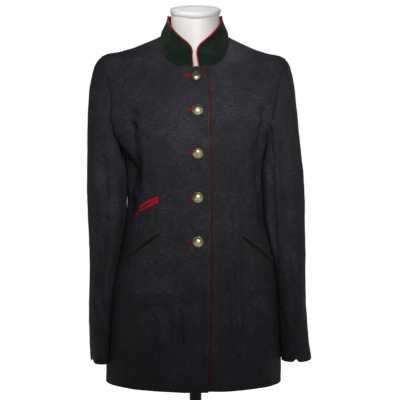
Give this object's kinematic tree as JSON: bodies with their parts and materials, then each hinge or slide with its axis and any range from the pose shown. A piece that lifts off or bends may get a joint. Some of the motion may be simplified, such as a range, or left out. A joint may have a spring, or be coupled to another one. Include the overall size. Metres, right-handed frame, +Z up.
{
  "type": "blazer on a limbless dress form",
  "caption": "Fitted hip-length blazer with a felt stand collar, red piping, domed brass buttons and slanted pockets, buttoned up on a limbless dress form with a pole and a round foot.",
  "frame": {"origin": "centre of the foot's underside, on the floor, under the middle of the pole", "axes": "+Z up along the pole; -Y out of the blazer's front; +X to the wearer's left, which is the viewer's right"},
  "size_m": [0.4713, 0.29, 0.928],
  "materials": {
    "cloth": "matte",
    "felt": "matte",
    "piping": "matte",
    "brass": "satin",
    "form": "matte",
    "stand": "satin"
  },
  "bodies": {
    "root": {"front_right": "cloth", "front_left": "cloth", "side_right": "cloth", "side_left": "cloth", "back_right": "cloth", "back_left": "cloth", "sleeve_right_under": "cloth", "sleeve_right_upper": "cloth", "sleeve_left_under": "cloth", "sleeve_left_upper": "cloth", "collar": "felt", "collar_piping": "piping", "front_piping": "piping", "cuff_piping_right": "piping", "cuff_piping_left": "piping", "hip_welt_right": "felt", "hip_welt_left": "felt", "ticket_jet_upper": "piping", "ticket_jet_lower": "piping", "buttonhole_1": "piping", "button_1": "brass", "buttonhole_2": "piping", "button_2": "brass", "buttonhole_3": "piping", "button_3": "brass", "buttonhole_4": "piping", "button_4": "brass", "buttonhole_5": "piping", "button_5": "brass", "dress_form": "form", "pole": "stand", "foot": "stand"}
  },
  "joints": []
}
